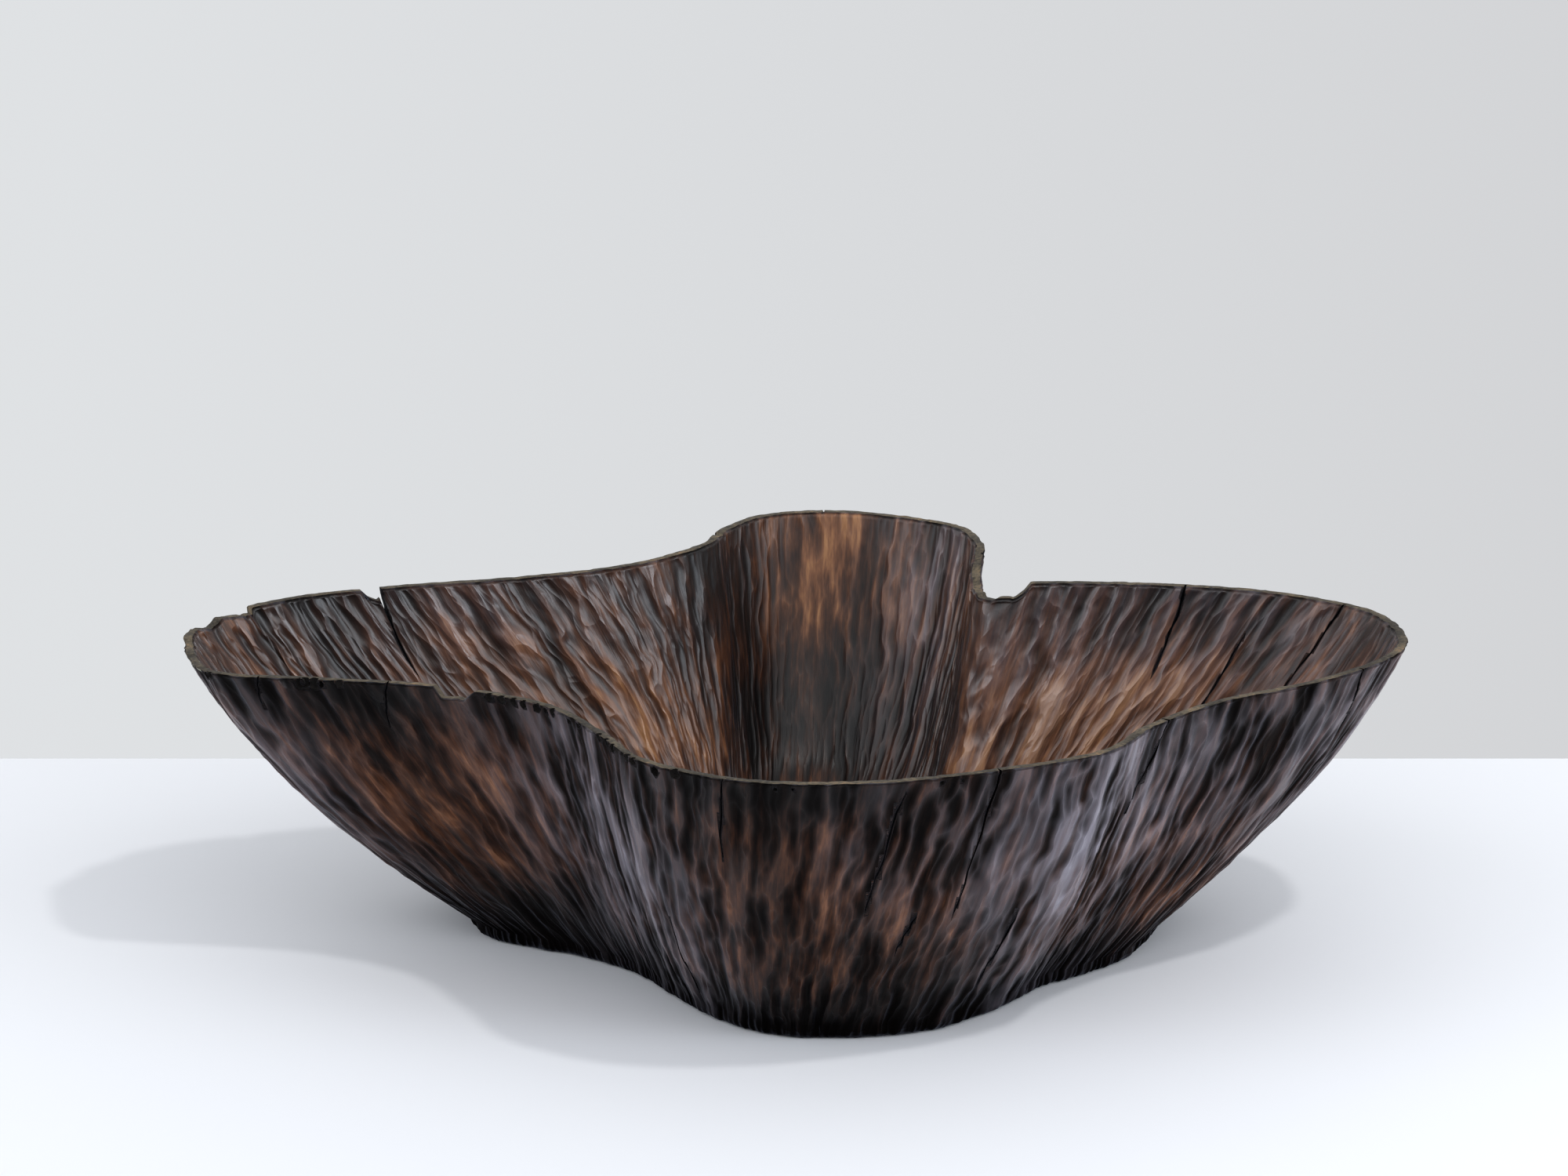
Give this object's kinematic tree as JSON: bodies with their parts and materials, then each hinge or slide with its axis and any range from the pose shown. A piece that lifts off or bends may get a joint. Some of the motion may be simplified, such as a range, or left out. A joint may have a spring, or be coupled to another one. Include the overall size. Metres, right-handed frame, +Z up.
{
  "type": "carved wooden bowl",
  "caption": "Wide four-lobed bowl carved from one piece of wood, with thin flaring walls, a flat chipped rim and a broad flat foot.",
  "frame": {"origin": "on the underside, below the middle of the rim", "axes": "+X along the right-hand arm, +Y through the deep back lobe, +Z up"},
  "size_m": [0.6496, 0.5019, 0.165],
  "materials": {
    "burnt_wood": "dark burnt and waxed hardwood, rubbed back to copper brown on the ridges of the gouge marks"
  },
  "bodies": {
    "root": {"bowl": "burnt_wood"}
  },
  "joints": []
}
